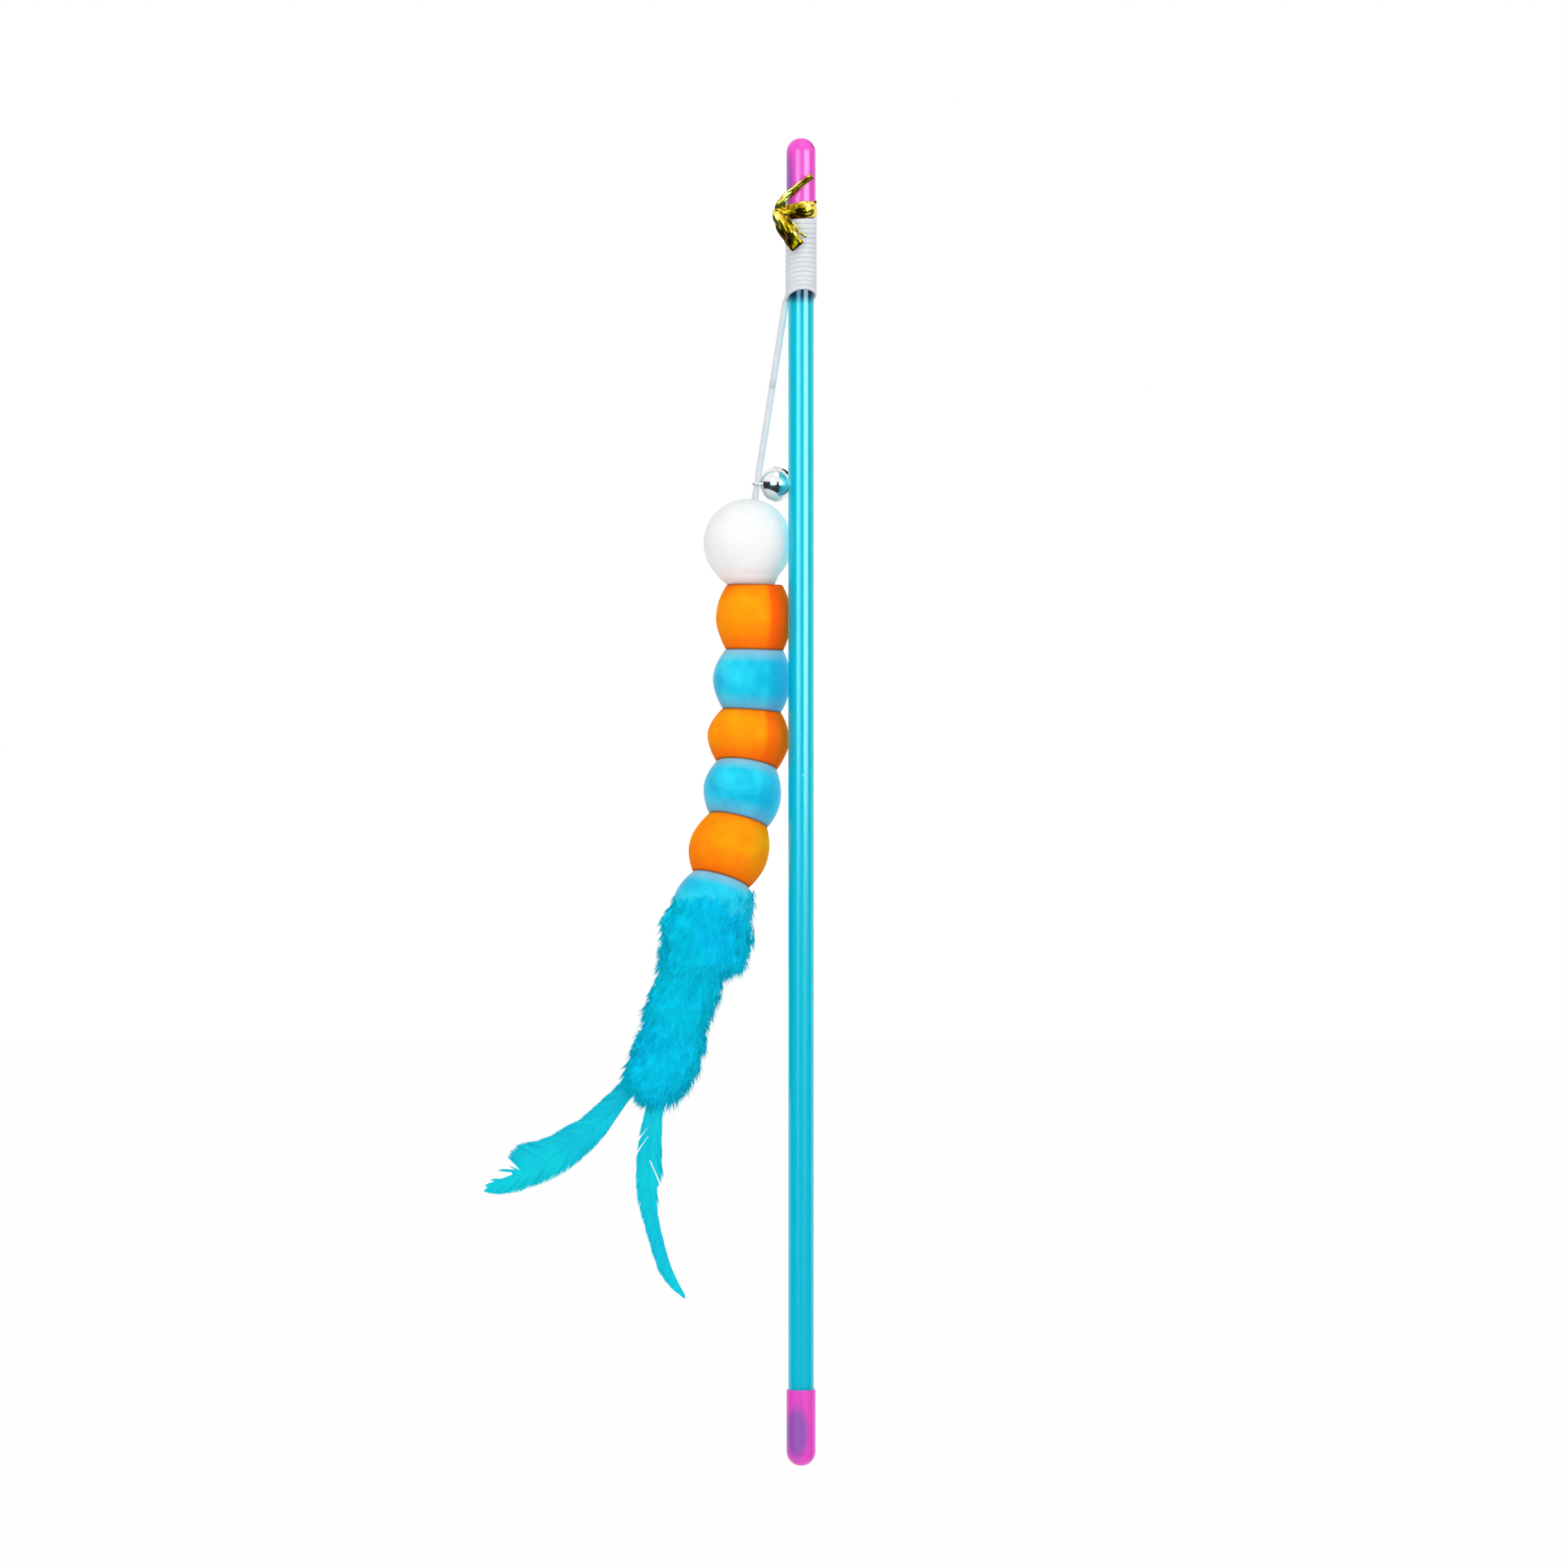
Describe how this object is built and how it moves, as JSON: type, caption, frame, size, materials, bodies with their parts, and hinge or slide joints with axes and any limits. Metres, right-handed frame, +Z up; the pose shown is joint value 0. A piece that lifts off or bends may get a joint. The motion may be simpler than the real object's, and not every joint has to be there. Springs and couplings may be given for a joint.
{
  "type": "cat teaser wand",
  "caption": "Capped translucent tube with a cord wound on its tip, holding a jingle bell, a chain of plush beads and a feathered tail for a cat to chase.",
  "frame": {"origin": "on the tube's axis, half way along the handle cap's straight wall, where a hand or a holder grips it", "axes": "+Z up along the tube towards the tip, -X towards the toy, +Y away from the viewer"},
  "size_m": [0.0779, 0.0401, 0.3108],
  "materials": {
    "tube_blue": "clear tinted, glossy",
    "cap_pink": "soft translucent vinyl",
    "cord_white": "elastic, fine braid",
    "tie_gold": "metallised ribbon on a wire",
    "bell_silver": "bright plated",
    "pea_steel": "plain",
    "plush_white": "short velvet pile",
    "plush_orange": "short velvet pile",
    "plush_blue": "short velvet pile",
    "fluff_blue": "down plume",
    "feather_blue": "dyed feather"
  },
  "bodies": {
    "wand": {"wand_tube": "tube_blue", "tip_cap": "cap_pink", "handle_cap": "cap_pink", "twist_tie": "tie_gold", "cord_knot": "cord_white", "cord_winding": "cord_white"},
    "cord": {"cord_upper": "cord_white"},
    "head": {"cord_lower": "cord_white", "head_ball": "plush_white"},
    "bell": {"bell_back_shell": "bell_silver", "bell_front_shell": "bell_silver", "bell_eye": "bell_silver"},
    "pea": {"bell_pea": "pea_steel"},
    "orange_1": {"orange_bead_1": "plush_orange", "core_cord_1": "cord_white"},
    "blue_1": {"blue_bead_1": "plush_blue", "core_cord_2": "cord_white"},
    "orange_2": {"orange_bead_2": "plush_orange", "core_cord_3": "cord_white"},
    "blue_2": {"blue_bead_2": "plush_blue", "core_cord_4": "cord_white"},
    "orange_3": {"orange_bead_3": "plush_orange", "core_cord_5": "cord_white"},
    "tail": {"tail_bead": "plush_blue", "core_cord_tail": "cord_white", "end_knot": "cord_white", "tail_tuft": "fluff_blue", "left_feather_root": "feather_blue", "right_feather_root": "feather_blue"},
    "feather_left": {"left_feather": "feather_blue"},
    "feather_right": {"right_feather": "feather_blue"}
  },
  "joints": [
    {"name": "cord_swing", "type": "hinge", "parent": "wand", "child": "cord", "pos_m": [-0.00391, 0.00162, 0.26009], "axis": [0.4147, 0.91, 0], "range_deg": [0, 110]},
    {"name": "head_swing", "type": "hinge", "parent": "cord", "child": "head", "pos_m": [-0.00968, 0.00438, 0.22347], "axis": [-0.91, 0.4147, 0], "range_deg": [-40, 40]},
    {"name": "bell_swivel", "type": "hinge", "parent": "head", "child": "bell", "pos_m": [-0.01032, 0.00469, 0.21943], "axis": [0.1552, -0.0743, 0.9851], "range_deg": [0, 200]},
    {"name": "pea_rattle", "type": "slide", "parent": "bell", "child": "pea", "axis": [0, 0, 1], "range_m": [0, 0.0047]},
    {"name": "orange_1_sway", "type": "hinge", "parent": "head", "child": "orange_1", "pos_m": [-0.01093, 0.00498, 0.19568], "axis": [-0.91, 0.4147, 0], "range_deg": [-12, 12]},
    {"name": "blue_1_sway", "type": "hinge", "parent": "orange_1", "child": "blue_1", "pos_m": [-0.01093, 0.00498, 0.18048], "axis": [-0.91, 0.4147, 0], "range_deg": [-12, 12]},
    {"name": "orange_2_sway", "type": "hinge", "parent": "blue_1", "child": "orange_2", "pos_m": [-0.01156, 0.00527, 0.1662], "axis": [-0.91, 0.4147, 0], "range_deg": [-12, 12]},
    {"name": "blue_2_sway", "type": "hinge", "parent": "orange_2", "child": "blue_2", "pos_m": [-0.0128, 0.00583, 0.15327], "axis": [-0.91, 0.4147, 0], "range_deg": [-12, 12]},
    {"name": "orange_3_sway", "type": "hinge", "parent": "blue_2", "child": "orange_3", "pos_m": [-0.01477, 0.00673, 0.14035], "axis": [-0.91, 0.4147, 0], "range_deg": [-12, 12]},
    {"name": "tail_sway", "type": "hinge", "parent": "orange_3", "child": "tail", "pos_m": [-0.0189, 0.00861, 0.12637], "axis": [-0.91, 0.4147, 0], "range_deg": [-12, 12]},
    {"name": "feather_left_flex", "type": "hinge", "parent": "tail", "child": "feather_left", "pos_m": [-0.03988, 0.01817, 0.07657], "axis": [-0.6546, 0.2983, 0.6947], "range_deg": [-25, 25], "stiffness_Nm_per_rad": 0.0002},
    {"name": "feather_right_flex", "type": "hinge", "parent": "tail", "child": "feather_right", "pos_m": [-0.03485, 0.01588, 0.07076], "axis": [-0.8866, 0.4041, 0.225], "range_deg": [-25, 25], "stiffness_Nm_per_rad": 0.0002}
  ]
}
